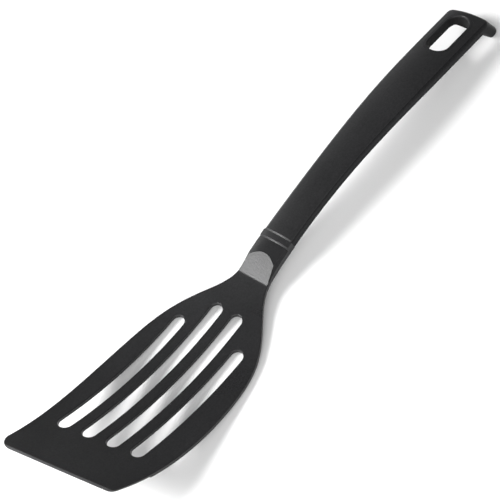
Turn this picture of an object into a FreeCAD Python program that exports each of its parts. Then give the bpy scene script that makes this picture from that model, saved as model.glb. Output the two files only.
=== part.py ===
import FreeCAD, Part
import math
import os

# Slotted grill spatula, all black moulded nylon, in millimetres.
# It lies in its resting pose: the belly of the curved blade and the underside
# of the end hook touch z = 0.
# +X runs from the blade tip toward the handle end, +Y to the left of someone
# holding the handle, +Z up. The origin is under the middle of the tool.

V = FreeCAD.Vector

# Whole tool
HALF_LENGTH = 165.0

# Blade: a plate curved upward along its length
BELLY_X = -65.2
BLADE_RADIUS = 183.5
BLADE_THICK = 2.3
TIP_THICK = 1.2
TIP_THIN_LENGTH = 16.5
FRONT_X = -160.4
FRONT_SLANT = math.radians(12.6)
FRONT_BEVEL_LENGTH = 1.2
FRONT_BEVEL_SLOPE = math.radians(25.0)
LEFT_CORNER_ROUND = 6.0
RIGHT_CORNER_ROUND = 4.5

# Blade outline, from the front corner back to the neck: (x, half width)
LEFT_EDGE = [(-140.0, 31.8), (-114.0, 33.7), (-85.0, 33.6), (-60.5, 28.8), (-42.5, 18.6), (-28.5, 10.0)]
RIGHT_EDGE = [(-140.0, 33.4), (-114.0, 36.4), (-85.0, 35.5), (-60.5, 30.5), (-42.5, 19.4), (-28.5, 10.9)]
LEFT_CORNER_WIDTH = 30.3
RIGHT_CORNER_WIDTH = 29.5

# Slots
SLOT_COUNT = 4
SLOT_PITCH = 13.0
SLOT_WIDTH = 7.3
SLOT_FRONT_SETBACK = 23.1
OUTER_SLOT_END = -59.7
INNER_SLOT_END = -44.8

# Neck: crease, short steep riser, crowned collar
CREASE_ANGLE = math.radians(12.2)
RISER_ANGLE = math.radians(24.5)
CREASE_RADIUS = 4.0
NECK_SWELL_X = -46.0
NECK_SWELL_PULL = 0.35
NECK_DEPTH = 5.7
SHOULDER_Y = 7.8
SHOULDER_SLOPE = math.radians(50.0)
SHOULDER_REACH = 4.0
BAND_FRONT_X = -6.6
HANDLE_FRONT_X = -2.8
STEP_DOWN = 0.6
STEP_FALL = 0.45
STEP_RUN = 0.75
STEP_REACH = 0.8
STEP_HALF_SPAN = 6.0

# Handle: arched along its length, crowned across its width
APEX_X = 70.9
APEX_Z = 20.25
ARCH_RADIUS = 455.0
TAIL_ANGLE = math.radians(4.7)
TAIL_RADIUS = 2300.0
CROWN_RADIUS = 34.0
CROWN_RISE = 1.1
CROWN_HALF_SPAN = 14.0
CROWN_START_X = -24.5
CROWN_MARGIN = 2.0
CROWN_BODY_DEPTH = 18.0
SIDE_DEPTH = 6.1
HANDLE_EDGE = [(-12.0, 9.0), (8.0, 8.8), (47.0, 9.5), (104.0, 11.9), (150.0, 12.3), (175.0, 12.3)]

# Hook at the handle end: a tongue that leans outward and stands on its toe
LIP_ROOT_X = 153.9
LIP_TOE_X = 159.5
LIP_INNER_ROUND = 1.0
LIP_TOE_ROUND = 2.2
END_FOOT_X = 166.5
END_LEAN = math.radians(62.5)
END_BOW_RADIUS = 80.0
END_BOW_Y = -5.0
END_CORNER = 3.5
CORNER_REACH = 3.0
CORNER_LOW_Z = 2.0
CORNER_HIGH_Z = 13.0

# Two-part handle
COVER_EDGE = 0.7
SHELL_WALL = 2.0
TRAY_FLOOR = 2.0
CAVITY_END_X = 118.0
BAND_HEIGHT = 1.8
TOP_ROUND = 2.3
RIM_Y = 7.0
TOP_RIM_DEPTH = 2.6
BOTTOM_ROUND = 1.4
BLADE_ROUND = 0.4

# Tang and its pins
TANG_WIDTH = 8.0
TANG_THICK = 2.6
TANG_END_X = 112.0
FIT_GAP = 0.1
PIN_RADIUS = 1.5
PIN_PLACES = [14.0, 56.0, 98.0]
PIN_FLOOR = 0.8
CLEARANCE = 0.05
TANG_ROOT = 3.0
PIN_TOP = -0.2
BOSS_RADIUS = 3.0
BOSS_SINK = 1.0
RISER_FOOT_X = -30.0
NEAR = 0.05

# Hanging hole
HOLE_FRONT_X = 127.2
HOLE_BACK_X = 154.8
HOLE_WIDTH = 12.2
HOLE_Y = 0.3
LINER_WALL = 2.1
LINER_ROUND = 0.7
LINER_LOW_ROUND = 1.5

# Construction blocks reach past the tool by these amounts
FAR = 60.0
DEEP = 40.0
OVERRUN = 5.0

# Centres of the two arcs that the handle's side view follows
ARCH_CENTRE_Z = APEX_Z - ARCH_RADIUS
TAIL_X = APEX_X + ARCH_RADIUS * math.sin(TAIL_ANGLE)
TAIL_CENTRE_X = TAIL_X - TAIL_RADIUS * math.sin(TAIL_ANGLE)
TAIL_CENTRE_Z = ARCH_CENTRE_Z + (ARCH_RADIUS - TAIL_RADIUS) * math.cos(TAIL_ANGLE)


def blade_point(angle, depth):
    """Point on the blade's side view, at a heading angle and a depth below the top face."""
    reach = BLADE_RADIUS + depth
    x = BELLY_X + reach * math.sin(angle)
    z = BLADE_THICK + BLADE_RADIUS - reach * math.cos(angle)
    return V(x, 0, z)


def blade_angle(x):
    """Heading angle of the blade's top face at x."""
    return math.asin((x - BELLY_X) / BLADE_RADIUS)


def handle_point(x, depth):
    """Point on the handle's side view, at a depth below the line of the top edges."""
    centre_x = APEX_X
    centre_z = ARCH_CENTRE_Z
    reach = ARCH_RADIUS
    if x > TAIL_X:
        centre_x = TAIL_CENTRE_X
        centre_z = TAIL_CENTRE_Z
        reach = TAIL_RADIUS
    angle = math.asin((x - centre_x) / reach)
    radius = reach - depth
    return V(centre_x + radius * math.sin(angle), 0, centre_z + radius * math.cos(angle))


def handle_angle(x):
    """Angle around the arch's centre at x, negative on the blade side of the apex."""
    return math.asin((x - APEX_X) / ARCH_RADIUS)


def handle_depth(point):
    """Depth of a point below the line of the handle's top edges."""
    if point.x < TAIL_X:
        return ARCH_RADIUS - math.hypot(point.x - APEX_X, point.z - ARCH_CENTRE_Z)
    return TAIL_RADIUS - math.hypot(point.x - TAIL_CENTRE_X, point.z - TAIL_CENTRE_Z)


def arc(a, b, c):
    """Arc edge through three points."""
    return Part.Arc(a, b, c).toShape()


def line(a, b):
    """Straight edge between two points."""
    return Part.LineSegment(a, b).toShape()


def handle_curve(x0, x1, depth):
    """Edges that follow the handle's side view from x0 to x1 at one depth."""
    stops = [x0, x1]
    if x0 < TAIL_X < x1:
        stops = [x0, TAIL_X, x1]
    edges = []
    for start, stop in zip(stops, stops[1:]):
        middle = 0.5 * (start + stop)
        edges.append(arc(handle_point(start, depth), handle_point(middle, depth), handle_point(stop, depth)))
    return edges


def across(edges):
    """Solid from a closed side view, reaching far to both sides in Y."""
    face = Part.Face(Part.Wire(Part.__sortEdges__(edges)))
    face.translate(V(0, -FAR, 0))
    return face.extrude(V(0, 2 * FAR, 0))


def upright(edges):
    """Solid from a closed plan view, reaching far up and down in Z."""
    face = Part.Face(Part.Wire(Part.__sortEdges__(edges)))
    face.translate(V(0, 0, -DEEP))
    return face.extrude(V(0, 0, 3 * DEEP))


def smooth_edge(points):
    """One smooth curve through plan points."""
    curve = Part.BSplineCurve()
    curve.interpolate([V(x, y, 0) for x, y in points])
    return curve.toShape()


def stadium(x0, x1, y, half_width):
    """Closed slot outline with round ends in plan view."""
    left = y + half_width
    right = y - half_width
    front = x0 + half_width
    back = x1 - half_width
    outline = [line(V(front, left, 0), V(back, left, 0))]
    outline.append(arc(V(back, left, 0), V(x1, y, 0), V(back, right, 0)))
    outline.append(line(V(back, right, 0), V(front, right, 0)))
    outline.append(arc(V(front, right, 0), V(x0, y, 0), V(front, left, 0)))
    return outline


def front_line_x(y, setback):
    """X of a line parallel to the slanted front edge, set back from it."""
    return FRONT_X - y * math.tan(FRONT_SLANT) + setback


def corner_arc(before, corner, after, radius):
    """Round a plan corner between two nearly straight sides; gives arc and its two ends."""
    back = (before - corner).normalize()
    ahead = (after - corner).normalize()
    half = 0.5 * back.getAngle(ahead)
    run = radius / math.tan(half)
    start = corner + back * run
    stop = corner + ahead * run
    bisector = (back + ahead).normalize()
    middle = corner + bisector * (radius / math.sin(half) - radius)
    return start, middle, stop


def blade_outline():
    """Plan view of the blade and neck."""
    left_corner = V(front_line_x(LEFT_CORNER_WIDTH, 0), LEFT_CORNER_WIDTH, 0)
    right_corner = V(front_line_x(-RIGHT_CORNER_WIDTH, 0), -RIGHT_CORNER_WIDTH, 0)
    left_next = V(LEFT_EDGE[0][0], LEFT_EDGE[0][1], 0)
    right_next = V(RIGHT_EDGE[0][0], -RIGHT_EDGE[0][1], 0)
    l0, l1, l2 = corner_arc(left_next, left_corner, right_corner, LEFT_CORNER_ROUND)
    r0, r1, r2 = corner_arc(left_corner, right_corner, right_next, RIGHT_CORNER_ROUND)
    neck = HANDLE_EDGE[:3]
    left = [(l0.x, l0.y)] + LEFT_EDGE + neck
    right = [(r2.x, r2.y)] + [(x, -w) for x, w in RIGHT_EDGE] + [(x, -w) for x, w in neck]
    close_x, close_w = neck[-1]
    edges = [smooth_edge(left), smooth_edge(right)]
    edges.append(arc(l0, l1, l2))
    edges.append(line(l2, r0))
    edges.append(arc(r0, r1, r2))
    edges.append(line(V(close_x, close_w, 0), V(close_x, -close_w, 0)))
    return upright(edges)


def handle_outline(inset):
    """Plan view of the handle's long sides, moved inward by an inset and open past the end."""
    left = [(x, w - inset) for x, w in HANDLE_EDGE]
    right = [(x, inset - w) for x, w in HANDLE_EDGE]
    edges = [smooth_edge(left), smooth_edge(right)]
    for a, b in ((left[0], right[0]), (left[-1], right[-1])):
        edges.append(line(V(a[0], a[1], 0), V(b[0], b[1], 0)))
    return upright(edges)


def crowned_body(x0, x1, lower):
    """Swept body under the crowned top face, lowered by one step or more."""
    rise = CROWN_RISE - lower
    path = Part.Wire(handle_curve(x0, x1, -rise))
    start = handle_point(x0, -rise)
    tangent = handle_angle(x0)
    down = V(-math.sin(tangent), 0, -math.cos(tangent))
    half = CROWN_HALF_SPAN + CROWN_MARGIN
    sag = CROWN_RADIUS - math.sqrt(CROWN_RADIUS ** 2 - half ** 2)
    left = start + V(0, half, 0) + down * sag
    right = start + V(0, -half, 0) + down * sag
    left_low = left + down * CROWN_BODY_DEPTH
    right_low = right + down * CROWN_BODY_DEPTH
    section = [arc(left, start, right), line(right, right_low)]
    section += [line(right_low, left_low), line(left_low, left)]
    return path.makePipeShell([Part.Wire(section)], True, False)


def riser_top_x(depth):
    """Handle x at which the riser plane meets the collar's level, at one depth."""
    foot = crease_end()
    centre = V(APEX_X, 0, ARCH_CENTRE_Z)
    along = V(math.cos(RISER_ANGLE), 0, math.sin(RISER_ANGLE))
    back = foot - centre
    radius = ARCH_RADIUS - depth
    lean = back.dot(along)
    run = -lean + math.sqrt(lean ** 2 - back.dot(back) + radius ** 2)
    meet = back + along * run
    return APEX_X + ARCH_RADIUS * math.sin(math.atan2(meet.x, meet.z))


def crease_end():
    """Upper end of the soft crease between blade and riser."""
    start = blade_point(CREASE_ANGLE, 0)
    centre = start + V(-math.sin(CREASE_ANGLE), 0, math.cos(CREASE_ANGLE)) * CREASE_RADIUS
    return centre + V(math.sin(RISER_ANGLE), 0, -math.cos(RISER_ANGLE)) * CREASE_RADIUS


def crease_middle():
    """Middle of the soft crease."""
    start = blade_point(CREASE_ANGLE, 0)
    half = 0.5 * (CREASE_ANGLE + RISER_ANGLE)
    centre = start + V(-math.sin(CREASE_ANGLE), 0, math.cos(CREASE_ANGLE)) * CREASE_RADIUS
    return centre + V(math.sin(half), 0, -math.cos(half)) * CREASE_RADIUS


def blade_side_view():
    """Closed side view of blade, riser and collar."""
    tip = blade_angle(-HALF_LENGTH - OVERRUN)
    middle = 0.5 * (tip + CREASE_ANGLE)
    swell = blade_angle(NECK_SWELL_X)
    top_level = STEP_DOWN * 2 - CROWN_RISE
    peak_x = riser_top_x(top_level)
    edges = [arc(blade_point(tip, 0), blade_point(middle, 0), blade_point(CREASE_ANGLE, 0))]
    edges.append(arc(blade_point(CREASE_ANGLE, 0), crease_middle(), crease_end()))
    edges.append(line(crease_end(), handle_point(peak_x, top_level)))
    edges += handle_curve(peak_x, HANDLE_FRONT_X, top_level)
    bottom_end = handle_point(HANDLE_FRONT_X, NECK_DEPTH)
    edges.append(line(handle_point(HANDLE_FRONT_X, top_level), bottom_end))
    swell_point = blade_point(swell, BLADE_THICK)
    pull = NECK_SWELL_PULL * (bottom_end - swell_point).Length
    slope = handle_angle(HANDLE_FRONT_X)
    pole_a = swell_point + V(math.cos(swell), 0, math.sin(swell)) * pull
    pole_b = bottom_end - V(math.cos(slope), 0, -math.sin(slope)) * pull
    curve = Part.BezierCurve()
    curve.setPoles([swell_point, pole_a, pole_b, bottom_end])
    edges.append(curve.toShape())
    low_middle = 0.5 * (tip + swell)
    edges.append(arc(swell_point, blade_point(low_middle, BLADE_THICK), blade_point(tip, BLADE_THICK)))
    edges.append(line(blade_point(tip, BLADE_THICK), blade_point(tip, 0)))
    return edges


def tip_relief():
    """Material taken off the underside along the front edge."""
    tip = blade_angle(-HALF_LENGTH - OVERRUN)
    back = blade_angle(FRONT_X + DEEP)
    far_depth = BLADE_THICK + OVERRUN
    middle = 0.5 * (tip + back)
    edges = [arc(blade_point(tip, TIP_THICK), blade_point(middle, TIP_THICK), blade_point(back, TIP_THICK))]
    edges.append(line(blade_point(back, TIP_THICK), blade_point(back, far_depth)))
    low_points = [blade_point(angle, far_depth) for angle in (back, middle, tip)]
    edges.append(arc(*low_points))
    edges.append(line(blade_point(tip, far_depth), blade_point(tip, TIP_THICK)))
    band = across(edges)
    left_front = V(front_line_x(FAR, -DEEP), FAR, 0)
    right_front = V(front_line_x(-FAR, -DEEP), -FAR, 0)
    right_back = V(front_line_x(-FAR, TIP_THIN_LENGTH), -FAR, 0)
    left_back = V(front_line_x(FAR, TIP_THIN_LENGTH), FAR, 0)
    corners = [left_front, right_front, right_back, left_back]
    sides = [line(a, b) for a, b in zip(corners, corners[1:] + corners[:1])]
    return band.common(upright(sides))


def top_edge_point(y, setback):
    """Point of the blade's top face on a line set back from the front edge."""
    x = front_line_x(y, setback)
    return blade_point(blade_angle(x), 0) + V(0, y, 0)


def front_bevel():
    """Wedge above the thin front edge that leaves a bevel all along it."""
    left = top_edge_point(LEFT_CORNER_WIDTH, FRONT_BEVEL_LENGTH)
    right = top_edge_point(-RIGHT_CORNER_WIDTH, FRONT_BEVEL_LENGTH)
    run = left - right
    start = right - run
    ahead = start + V(-OVERRUN, 0, -OVERRUN * math.tan(FRONT_BEVEL_SLOPE))
    rise = V(0, 0, DEEP)
    outline = Part.makePolygon([start, ahead, ahead + rise, start + rise, start])
    return Part.Face(outline).extrude(run * 3)


def slot_span(index):
    """Front end, back end and centre line of one slot, counted from the left."""
    y = (0.5 * (SLOT_COUNT - 1) - index) * SLOT_PITCH
    x0 = front_line_x(y, SLOT_FRONT_SETBACK)
    x1 = INNER_SLOT_END
    if index in (0, SLOT_COUNT - 1):
        x1 = OUTER_SLOT_END
    return x0, x1, y


def prism(edges, low, high):
    """Upright solid from a closed plan view between two heights."""
    face = Part.Face(Part.Wire(Part.__sortEdges__(edges)))
    face.translate(V(0, 0, low))
    return face.extrude(V(0, 0, high - low))


def cut_slots(body):
    """Cut the row of slots."""
    for index in range(SLOT_COUNT):
        x0, x1, y = slot_span(index)
        body = body.cut(prism(stadium(x0, x1, y, 0.5 * SLOT_WIDTH), -DEEP, DEEP * 2))
    return body


def tang():
    """Tongue of the blade that runs inside the handle."""
    root_x = HANDLE_FRONT_X - TANG_ROOT
    top = COVER_EDGE + FIT_GAP
    low = top + TANG_THICK
    edges = handle_curve(root_x, TANG_END_X, top)
    edges.append(line(handle_point(TANG_END_X, top), handle_point(TANG_END_X, low)))
    edges += handle_curve(root_x, TANG_END_X, low)
    edges.append(line(handle_point(root_x, low), handle_point(root_x, top)))
    bar = Part.makeBox(2 * HALF_LENGTH, TANG_WIDTH, DEEP, V(root_x - HALF_LENGTH, -0.5 * TANG_WIDTH, 0))
    return across(edges).common(bar)


def pin(x, radius, top, low):
    """Pin through the handle, square to its top face."""
    head = handle_point(x, top)
    foot = handle_point(x, low)
    axis = foot - head
    return Part.makeCylinder(radius, axis.Length, head, axis)


def pins(radius, top, low):
    """The row of pins as one group."""
    return Part.makeCompound([pin(x, radius, top, low) for x in PIN_PLACES])


def crown_waste(x0, x1, lower):
    """Everything above the crowned top face at one step level."""
    block = Part.makeBox(x1 - x0, 2 * CROWN_HALF_SPAN, DEEP, V(x0, -CROWN_HALF_SPAN, 0))
    return block.cut(crowned_body(x0 - CROWN_MARGIN, x1 + CROWN_MARGIN, lower))


def hole_prism(grow):
    """Upright solid through the hanging hole, larger than it all round by a margin."""
    outline = stadium(HOLE_FRONT_X - grow, HOLE_BACK_X + grow, HOLE_Y, 0.5 * HOLE_WIDTH + grow)
    return prism(outline, -DEEP, DEEP)


def band_space():
    """Side view of the seat that the neck band fills."""
    top = -CROWN_RISE - CROWN_MARGIN
    low = COVER_EDGE + BAND_HEIGHT
    edges = handle_curve(BAND_FRONT_X, HANDLE_FRONT_X, top)
    edges.append(line(handle_point(HANDLE_FRONT_X, top), handle_point(HANDLE_FRONT_X, low)))
    edges += handle_curve(BAND_FRONT_X, HANDLE_FRONT_X, low)
    edges.append(line(handle_point(BAND_FRONT_X, low), handle_point(BAND_FRONT_X, top)))
    return across(edges)


def edges_where(solid, test):
    """Edges of a solid whose middle point passes a test."""
    picked = []
    for edge in solid.Edges:
        middle = edge.valueAt(0.5 * (edge.FirstParameter + edge.LastParameter))
        if test(middle):
            picked.append(edge)
    return picked


def blade_depth(point):
    """Depth of a point below the blade's top face."""
    return math.hypot(point.x - BELLY_X, point.z - BLADE_THICK - BLADE_RADIUS) - BLADE_RADIUS


def is_plate_rim(point):
    """True on the top or bottom rim of the blade and its slots, up to the neck."""
    depth = blade_depth(point)
    on_face = abs(depth) < NEAR or abs(depth - BLADE_THICK) < NEAR
    return on_face and point.x < RISER_FOOT_X


def shoulder_waste():
    """Wedge above the collar's right edge that leaves a sloped shoulder."""
    start = handle_point(CROWN_START_X, 0)
    run = handle_point(HANDLE_FRONT_X, 0) - start
    up = V(-run.z, 0, run.x).normalize()
    sag = CROWN_RADIUS - math.sqrt(CROWN_RADIUS ** 2 - SHOULDER_Y ** 2)
    top = start - V(0, SHOULDER_Y, 0) + up * (CROWN_RISE - 2 * STEP_DOWN - sag)
    low = top - V(0, SHOULDER_REACH, 0) - up * (SHOULDER_REACH * math.tan(SHOULDER_SLOPE))
    outline = Part.makePolygon([top, low, low + up * DEEP, top + up * DEEP, top])
    return Part.Face(outline).extrude(run)


def make_blade():
    """Blade, neck, collar and tang in one moulding."""
    body = across(blade_side_view()).common(blade_outline())
    body = cut_slots(body)
    body = body.makeFillet(BLADE_ROUND, edges_where(body, is_plate_rim))
    body = body.cut(tip_relief())
    body = body.cut(front_bevel())
    body = body.cut(crown_waste(CROWN_START_X, HANDLE_FRONT_X + OVERRUN, 2 * STEP_DOWN))
    body = body.cut(shoulder_waste())
    body = body.cut(band_space())
    body = body.fuse(tang()).removeSplitter()
    return body.cut(pins(PIN_RADIUS + CLEARANCE, -OVERRUN, SIDE_DEPTH))


def slope_front(body, x, first, second):
    """Slope the crowned front edge of a step, cut back by one distance on each of its two faces."""
    highest = handle_point(x, -CROWN_RISE - STEP_DOWN).z
    lowest = handle_point(x, COVER_EDGE - STEP_DOWN).z

    def on_front_rim(p):
        return abs(p.x - x) < STEP_REACH and abs(p.y) < STEP_HALF_SPAN and lowest < p.z < highest

    return body.makeChamfer(first, second, edges_where(body, on_front_rim))


def make_band():
    """Saddle that forms the second step of the neck."""
    body = band_space().common(blade_outline())
    body = body.cut(crown_waste(BAND_FRONT_X - OVERRUN, HANDLE_FRONT_X + OVERRUN, STEP_DOWN))
    return slope_front(body, BAND_FRONT_X, STEP_RUN, STEP_FALL)


def handle_side_view():
    """Closed side view of the handle and its hook, running on past the end face."""
    crest = -CROWN_RISE - CROWN_MARGIN
    root = handle_point(LIP_ROOT_X, SIDE_DEPTH)
    toe = V(LIP_TOE_X, 0, 0)
    past_x = HANDLE_EDGE[-1][0]
    past = handle_point(past_x, crest)
    edges = handle_curve(HANDLE_FRONT_X, LIP_ROOT_X, SIDE_DEPTH)
    edges.append(line(root, toe))
    edges.append(line(toe, V(past.x, 0, 0)))
    edges.append(line(V(past.x, 0, 0), past))
    edges += handle_curve(HANDLE_FRONT_X, past_x, crest)
    edges.append(line(handle_point(HANDLE_FRONT_X, crest), handle_point(HANDLE_FRONT_X, SIDE_DEPTH)))
    return edges


def end_waste():
    """Everything beyond the bowed end face, which leans outward toward the toe."""
    down = V(math.cos(END_LEAN), 0, -math.sin(END_LEAN))
    outward = V(math.sin(END_LEAN), 0, math.cos(END_LEAN))
    foot = V(END_FOOT_X, END_BOW_Y, 0)
    base = foot - outward * END_BOW_RADIUS - down * FAR
    bow = Part.makeCylinder(END_BOW_RADIUS, 2 * FAR, base, down)
    block = Part.makeBox(FAR, FAR, FAR, V(END_FOOT_X - 0.5 * FAR, -0.5 * FAR, -0.25 * FAR))
    return block.cut(bow)


def round_corner(body, point, radius):
    """Round the straight edge that crosses the tool at one side-view corner."""
    edges = edges_where(body, lambda p: abs(p.x - point.x) < NEAR and abs(p.z - point.z) < NEAR)
    return body.makeFillet(radius, edges)


def is_outer_rim(point):
    """True out at the sides of the handle or around its end."""
    return point.x > 0 and (abs(point.y) > RIM_Y or point.x > LIP_ROOT_X + END_CORNER)


def is_handle_top_rim(point):
    """True where the crowned top meets the side walls or the end face."""
    return is_outer_rim(point) and abs(handle_depth(point)) < TOP_RIM_DEPTH


def is_handle_bottom_rim(point):
    """True where the side walls meet the underside and the hook."""
    if point.x > LIP_TOE_X + END_CORNER:
        return abs(point.z) < NEAR
    return point.x > 0 and abs(point.y) > RIM_Y and handle_depth(point) > SIDE_DEPTH - NEAR


def is_end_corner(point):
    """True on the two leaning corners between the end face and the side walls."""
    face_x = END_FOOT_X - point.z / math.tan(END_LEAN)
    at_side = abs(point.y) > HANDLE_EDGE[-1][1] - NEAR
    at_height = CORNER_LOW_Z < point.z < CORNER_HIGH_Z
    return abs(point.x - face_x) < CORNER_REACH and at_side and at_height


def make_envelope():
    """Outside form of the whole handle before it is split in two."""
    body = across(handle_side_view())
    body = round_corner(body, handle_point(LIP_ROOT_X, SIDE_DEPTH), LIP_INNER_ROUND)
    body = round_corner(body, V(LIP_TOE_X, 0, 0), LIP_TOE_ROUND)
    body = body.common(handle_outline(0))
    body = body.cut(end_waste())
    body = body.makeFillet(END_CORNER, edges_where(body, is_end_corner))
    body = body.cut(crown_waste(HANDLE_FRONT_X - OVERRUN, HANDLE_EDGE[-1][0], 0))
    body = body.makeFillet(BOTTOM_ROUND, edges_where(body, is_handle_bottom_rim))
    return body.makeFillet(TOP_ROUND, edges_where(body, is_handle_top_rim))


def seam_block():
    """Space above the seam between cover and tray."""
    edges = handle_curve(HANDLE_FRONT_X - OVERRUN, HALF_LENGTH + OVERRUN, COVER_EDGE)
    start = handle_point(HANDLE_FRONT_X - OVERRUN, COVER_EDGE)
    stop = handle_point(HALF_LENGTH + OVERRUN, COVER_EDGE)
    edges.append(line(stop, V(stop.x, 0, DEEP)))
    edges.append(line(V(stop.x, 0, DEEP), V(start.x, 0, DEEP)))
    edges.append(line(V(start.x, 0, DEEP), start))
    return across(edges)


def cavity():
    """Hollow inside the tray."""
    low = SIDE_DEPTH - TRAY_FLOOR
    front = HANDLE_FRONT_X - OVERRUN
    edges = handle_curve(front, CAVITY_END_X, 0)
    edges.append(line(handle_point(CAVITY_END_X, 0), handle_point(CAVITY_END_X, low)))
    edges += handle_curve(front, CAVITY_END_X, low)
    edges.append(line(handle_point(front, low), handle_point(front, 0)))
    return across(edges).common(handle_outline(SHELL_WALL))


def make_cover(envelope):
    """Crowned top half of the handle."""
    body = envelope.common(seam_block())
    body = slope_front(body, HANDLE_FRONT_X, STEP_FALL, STEP_RUN)
    body = body.cut(pins(PIN_RADIUS + CLEARANCE, PIN_TOP, SIDE_DEPTH))
    return body.cut(hole_prism(LINER_WALL))


def make_tray(envelope):
    """Lower half of the handle with side walls, floor, pin bosses and end lip."""
    body = envelope.cut(seam_block())
    body = body.cut(cavity())
    tang_low = COVER_EDGE + FIT_GAP + TANG_THICK
    body = body.fuse(pins(BOSS_RADIUS, tang_low + FIT_GAP, SIDE_DEPTH - BOSS_SINK))
    body = body.cut(pins(PIN_RADIUS + CLEARANCE, 0, SIDE_DEPTH - PIN_FLOOR))
    return body.cut(hole_prism(LINER_WALL))


def is_in_hole(point):
    """True on the wall of the hanging hole."""
    middle_x = 0.5 * (HOLE_FRONT_X + HOLE_BACK_X)
    half_length = 0.5 * (HOLE_BACK_X - HOLE_FRONT_X)
    return abs(point.y - HOLE_Y) < 0.5 * HOLE_WIDTH + NEAR and abs(point.x - middle_x) < half_length + NEAR


def is_hole_top_rim(point):
    """True on the upper rim of the hanging hole."""
    return is_in_hole(point) and handle_depth(point) < COVER_EDGE


def is_hole_bottom_rim(point):
    """True on the lower rim of the hanging hole."""
    return is_in_hole(point) and handle_depth(point) > SIDE_DEPTH - NEAR


def make_liner(envelope):
    """Oval eyelet lining the hanging hole."""
    body = envelope.common(hole_prism(LINER_WALL)).cut(hole_prism(0))
    body = body.makeFillet(LINER_ROUND, edges_where(body, is_hole_top_rim))
    return body.makeFillet(LINER_LOW_ROUND, edges_where(body, is_hole_bottom_rim))


def save(name, shape):
    """Write one node as a STEP file and print a short summary."""
    shape.exportStep("parts/" + name + ".step")
    print(name, len(shape.Solids), shape.isValid(), round(shape.Volume, 1))


os.makedirs("parts", exist_ok=True)
outside = make_envelope()
save("blade", make_blade())
save("neck_band", make_band())
save("handle_cover", make_cover(outside))
save("handle_tray", make_tray(outside))
save("hang_hole_liner", make_liner(outside))
save("tang_pins", pins(PIN_RADIUS, PIN_TOP, SIDE_DEPTH - PIN_FLOOR))
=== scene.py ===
import math

import bpy
from mathutils import Matrix, Vector

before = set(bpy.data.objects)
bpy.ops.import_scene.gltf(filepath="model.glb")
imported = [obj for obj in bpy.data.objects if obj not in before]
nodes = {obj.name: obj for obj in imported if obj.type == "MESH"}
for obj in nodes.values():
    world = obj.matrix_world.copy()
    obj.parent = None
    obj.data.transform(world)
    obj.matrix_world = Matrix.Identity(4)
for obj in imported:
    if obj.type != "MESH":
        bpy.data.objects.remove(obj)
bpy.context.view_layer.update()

# Camera: where it looks from and at, in degrees and metres, and its lens in millimetres
CAMERA_AZIMUTH = -30.07
CAMERA_ELEVATION = 51.48
CAMERA_ROLL = -24.69
CAMERA_TARGET = Vector((-0.0253, -0.0085, 0.0360))
CAMERA_DISTANCE = 0.7291
CAMERA_LENS = 111.75
SENSOR_WIDTH = 36.0
CLIP_START = 0.05
CLIP_END = 20.0

# Moulded nylon: a fine spark-eroded grain under a faint cloud, with scales in cells per metre
# and the grain's height in metres
NYLON_IOR = 1.5
GRAIN_SCALE = 1100.0
PIN_GRAIN_SCALE = 1500.0
GRAIN_ROUGH = 0.6
GRAIN_HEIGHT = 0.00004
CLOUD_SCALE = 18.0
CLOUD_ROUGH = 0.55
CLOUD_LOW = 0.3
CLOUD_HIGH = 0.7
CLOUD_FAINT = 0.8
CLOUD_STRONG = 1.2
NOISE_DETAIL = 3.0

# Gloss is the specular level: highest on the blade and the handle's top, lowest on its sides. The
# lower gloss of the sides, hook and hole liner is painted shade: it dims their reflections where the
# tool is in shade
TOP_GLOSS = 0.32
LINER_SHADED_GLOSS = 0.24
TRAY_SHADED_GLOSS = 0.07

# The hanging hole. Levels are z + RIM_SLOPE * x in metres, which is nearly the same all round
# the rim: the rim is near RIM_TOP, and below RIM_LOW the wall has its full painted shade, a darkened
# colour that stands in for the shade inside the hole, and its full extra roughness
RIM_SLOPE = 0.0965
RIM_TOP = 0.0299
RIM_LOW = 0.0288
# Painted shade: the wall's colour is multiplied by this below RIM_LOW, standing in for the shade in
# the hole
WALL_PAINTED_SHADE = 0.15
WALL_EXTRA_ROUGH = 0.3

# Floor: a large pale sheet, 1 mm under the tool
FLOOR_HALF = 6.0
FLOOR_Z = -0.001
FLOOR_GREY = 0.88
FLOOR_ROUGH = 0.9

# World: bright at the horizon, dimmer overhead, and dimmer again beyond the end of the handle
HORIZON_LEVEL = 0.95
OVERHEAD_LEVEL = 0.3
OVERHEAD_Z = 0.7
BEYOND_START_X = 0.35
BEYOND_END_X = 0.8
BEYOND_LEVEL = 0.35


def new_material(name):
    """A new material, its node tree and a Principled shader that is joined to the output."""
    material = bpy.data.materials.new(name)
    material.use_nodes = True
    tree = material.node_tree
    tree.nodes.clear()
    output = tree.nodes.new("ShaderNodeOutputMaterial")
    shader = tree.nodes.new("ShaderNodeBsdfPrincipled")
    tree.links.new(shader.outputs["BSDF"], output.inputs["Surface"])
    return material, tree, shader


def noise(tree, coords, scale, rough):
    """A noise pattern that is fixed to the object."""
    node = tree.nodes.new("ShaderNodeTexNoise")
    node.inputs["Scale"].default_value = scale
    node.inputs["Detail"].default_value = NOISE_DETAIL
    node.inputs["Roughness"].default_value = rough
    tree.links.new(coords.outputs["Object"], node.inputs["Vector"])
    return node.outputs["Fac"]


def ramp(tree, source, low, high, start, end):
    """A value that goes from start to end while the source goes from low to high."""
    node = tree.nodes.new("ShaderNodeMapRange")
    node.inputs["From Min"].default_value = low
    node.inputs["From Max"].default_value = high
    node.inputs["To Min"].default_value = start
    node.inputs["To Max"].default_value = end
    tree.links.new(source, node.inputs["Value"])
    return node.outputs["Result"]


def combine(tree, operation, first, second):
    """Two values added or multiplied."""
    node = tree.nodes.new("ShaderNodeMath")
    node.operation = operation
    tree.links.new(first, node.inputs[0])
    tree.links.new(second, node.inputs[1])
    return node.outputs["Value"]


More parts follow.
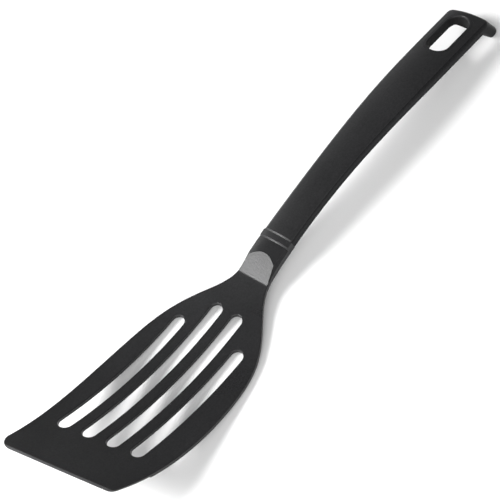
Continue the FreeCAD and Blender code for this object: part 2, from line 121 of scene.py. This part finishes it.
def nylon(name, dark, light, roughness, gloss=TOP_GLOSS, grain_scale=GRAIN_SCALE):
    """Black nylon: grain and cloud blend two colours, and the cloud varies the roughness."""
    material, tree, shader = new_material(name)
    shader.inputs["IOR"].default_value = NYLON_IOR
    shader.inputs["Specular IOR Level"].default_value = gloss
    coords = tree.nodes.new("ShaderNodeTexCoord")
    grain = noise(tree, coords, grain_scale, GRAIN_ROUGH)
    cloud = noise(tree, coords, CLOUD_SCALE, CLOUD_ROUGH)

    spread = ramp(tree, cloud, CLOUD_LOW, CLOUD_HIGH, CLOUD_FAINT, CLOUD_STRONG)
    colour = tree.nodes.new("ShaderNodeMixRGB")
    colour.inputs["Color1"].default_value = (*dark, 1.0)
    colour.inputs["Color2"].default_value = (*light, 1.0)
    tree.links.new(combine(tree, "MULTIPLY", grain, spread), colour.inputs["Fac"])
    tree.links.new(colour.outputs["Color"], shader.inputs["Base Color"])

    smoothest, roughest = roughness
    rough = ramp(tree, cloud, CLOUD_LOW, CLOUD_HIGH, smoothest, roughest)
    tree.links.new(rough, shader.inputs["Roughness"])

    bump = tree.nodes.new("ShaderNodeBump")
    bump.inputs["Strength"].default_value = 1.0
    bump.inputs["Distance"].default_value = GRAIN_HEIGHT
    tree.links.new(grain, bump.inputs["Height"])
    tree.links.new(bump.outputs["Normal"], shader.inputs["Normal"])
    return material


def paint_wall_shade(material):
    """Paint shade on the walls of the hanging hole: darken their colour to stand in for the shade
    inside the hole, and make them rougher than its rim.
    """
    tree = material.node_tree
    shader = tree.nodes["Principled BSDF"]
    coords = tree.nodes["Texture Coordinate"]
    split = tree.nodes.new("ShaderNodeSeparateXYZ")
    tree.links.new(coords.outputs["Object"], split.inputs["Vector"])
    slope = tree.nodes.new("ShaderNodeMath")
    slope.operation = "MULTIPLY_ADD"
    slope.inputs[1].default_value = RIM_SLOPE
    tree.links.new(split.outputs["X"], slope.inputs[0])
    tree.links.new(split.outputs["Z"], slope.inputs[2])
    level = slope.outputs["Value"]

    # Painted shade: the colour is scaled down below the rim, where the hole is in shade
    painted_shade = ramp(tree, level, RIM_LOW, RIM_TOP, WALL_PAINTED_SHADE, 1.0)
    plain_colour = shader.inputs["Base Color"].links[0].from_socket
    shaded_colour = tree.nodes.new("ShaderNodeVectorMath")
    shaded_colour.operation = "SCALE"
    tree.links.new(plain_colour, shaded_colour.inputs[0])
    tree.links.new(painted_shade, shaded_colour.inputs["Scale"])
    tree.links.new(shaded_colour.outputs["Vector"], shader.inputs["Base Color"])

    extra = ramp(tree, level, RIM_LOW, RIM_TOP, WALL_EXTRA_ROUGH, 0.0)
    plain_rough = shader.inputs["Roughness"].links[0].from_socket
    tree.links.new(combine(tree, "ADD", plain_rough, extra), shader.inputs["Roughness"])


def make_blade_nylon():
    """The blade, neck and collar: the darkest and the smoothest nylon."""
    return nylon(
        "blade_nylon",
        dark=(0.0025, 0.0025, 0.0028),
        light=(0.0210, 0.0211, 0.0222),
        roughness=(0.26, 0.35),
    )


def make_handle_nylon():
    """The top of the handle and the band at its neck."""
    return nylon(
        "handle_nylon",
        dark=(0.0035, 0.0035, 0.0038),
        light=(0.0235, 0.0236, 0.0248),
        roughness=(0.31, 0.41),
    )


def make_tray_nylon():
    """The sides, underside and hook of the handle: a low gloss, as painted shade that dims their
    reflections, and a colour a little darker than the top's.
    """
    return nylon(
        "tray_nylon",
        dark=(0.0030, 0.0030, 0.0033),
        light=(0.0225, 0.0226, 0.0238),
        roughness=(0.33, 0.43),
        # Painted shade: a low gloss dims the reflections on the sides and hook
        gloss=TRAY_SHADED_GLOSS,
    )


def make_liner_nylon():
    """The eyelet in the hanging hole: a rim like the handle's top, with painted shade darkening its
    walls and a lower gloss that dims their reflections.
    """
    material = nylon(
        "liner_nylon",
        dark=(0.0045, 0.0045, 0.0048),
        light=(0.0255, 0.0256, 0.0268),
        roughness=(0.31, 0.41),
        gloss=LINER_SHADED_GLOSS,
    )
    # Painted shade on the walls of the hole
    paint_wall_shade(material)
    return material


def make_pin_nylon():
    """The hidden pins: plain nylon, paler and rougher than the rest."""
    return nylon(
        "pin_nylon",
        dark=(0.030, 0.030, 0.031),
        light=(0.050, 0.050, 0.052),
        roughness=(0.5, 0.6),
        grain_scale=PIN_GRAIN_SCALE,
    )


def dress_nodes():
    """Give every CAD node its nylon. Nodes that aren't listed are part of the handle's top."""
    finishes = {
        "blade": make_blade_nylon(),
        "handle_tray": make_tray_nylon(),
        "hang_hole_liner": make_liner_nylon(),
        "tang_pins": make_pin_nylon(),
    }
    handle_nylon = make_handle_nylon()
    for name, node in nodes.items():
        node.data.materials.clear()
        node.data.materials.append(finishes.get(name, handle_nylon))


def make_floor():
    """A large matt sheet of pale paper."""
    near = -FLOOR_HALF
    far = FLOOR_HALF
    corners = [(near, near, FLOOR_Z), (far, near, FLOOR_Z), (far, far, FLOOR_Z), (near, far, FLOOR_Z)]
    mesh = bpy.data.meshes.new("floor")
    mesh.from_pydata(corners, [], [(0, 1, 2, 3)])
    floor = bpy.data.objects.new("floor", mesh)
    bpy.context.scene.collection.objects.link(floor)
    paper, _, shader = new_material("paper")
    shader.inputs["Base Color"].default_value = (FLOOR_GREY, FLOOR_GREY, FLOOR_GREY, 1.0)
    shader.inputs["Roughness"].default_value = FLOOR_ROUGH
    mesh.materials.append(paper)


def area_light(name, place, size, power):
    """A softbox aimed at the origin, which is under the middle of the tool. Metres and watts."""
    data = bpy.data.lights.new(name, "AREA")
    data.shape = "RECTANGLE"
    data.size, data.size_y = size
    data.energy = power
    light = bpy.data.objects.new(name, data)
    light.location = place
    light.rotation_euler = (-Vector(place)).to_track_quat("-Z", "Y").to_euler()
    bpy.context.scene.collection.objects.link(light)


def make_lights():
    """A key that the riser reflects, a broad fill, and a light behind that edges the crown."""
    area_light("key", place=(-0.83, 0.73, 0.91), size=(0.55, 0.55), power=27.0)
    area_light("fill", place=(-1.2, -0.95, 1.05), size=(2.0, 1.2), power=30.0)
    area_light("back_left", place=(-0.15, 1.5, 0.62), size=(1.2, 0.8), power=7.0)


def make_world():
    """A white studio whose brightness changes with the direction."""
    world = bpy.data.worlds.new("studio")
    bpy.context.scene.world = world
    world.use_nodes = True
    tree = world.node_tree
    background = tree.nodes["Background"]
    background.inputs["Color"].default_value = (1.0, 1.0, 1.0, 1.0)
    direction = tree.nodes.new("ShaderNodeTexCoord")
    split = tree.nodes.new("ShaderNodeSeparateXYZ")
    tree.links.new(direction.outputs["Generated"], split.inputs["Vector"])
    by_height = ramp(tree, split.outputs["Z"], 0.0, OVERHEAD_Z, HORIZON_LEVEL, OVERHEAD_LEVEL)
    beyond = ramp(tree, split.outputs["X"], BEYOND_START_X, BEYOND_END_X, 1.0, BEYOND_LEVEL)
    level = combine(tree, "MULTIPLY", by_height, beyond)
    tree.links.new(level, background.inputs["Strength"])
    bpy.context.scene.view_settings.view_transform = "Standard"


def aim_camera():
    """A camera turned about its target by azimuth and elevation, then rolled about its own axis."""
    azimuth = math.radians(CAMERA_AZIMUTH)
    elevation = math.radians(CAMERA_ELEVATION)
    roll = math.radians(CAMERA_ROLL)
    reach = math.cos(elevation)
    back = Vector((math.sin(azimuth) * reach, -math.cos(azimuth) * reach, math.sin(elevation)))
    level = Vector((math.cos(azimuth), math.sin(azimuth), 0))
    rise = back.cross(level)
    right = level * math.cos(roll) + rise * math.sin(roll)
    up = rise * math.cos(roll) - level * math.sin(roll)
    data = bpy.data.cameras.new("camera")
    data.lens = CAMERA_LENS
    data.sensor_width = SENSOR_WIDTH
    data.clip_start = CLIP_START
    data.clip_end = CLIP_END
    camera = bpy.data.objects.new("camera", data)
    turn = Matrix((right, up, back)).transposed().to_4x4()
    camera.matrix_world = Matrix.Translation(CAMERA_TARGET + back * CAMERA_DISTANCE) @ turn
    bpy.context.scene.collection.objects.link(camera)
    bpy.context.scene.camera = camera


dress_nodes()
make_floor()
make_lights()
make_world()
aim_camera()
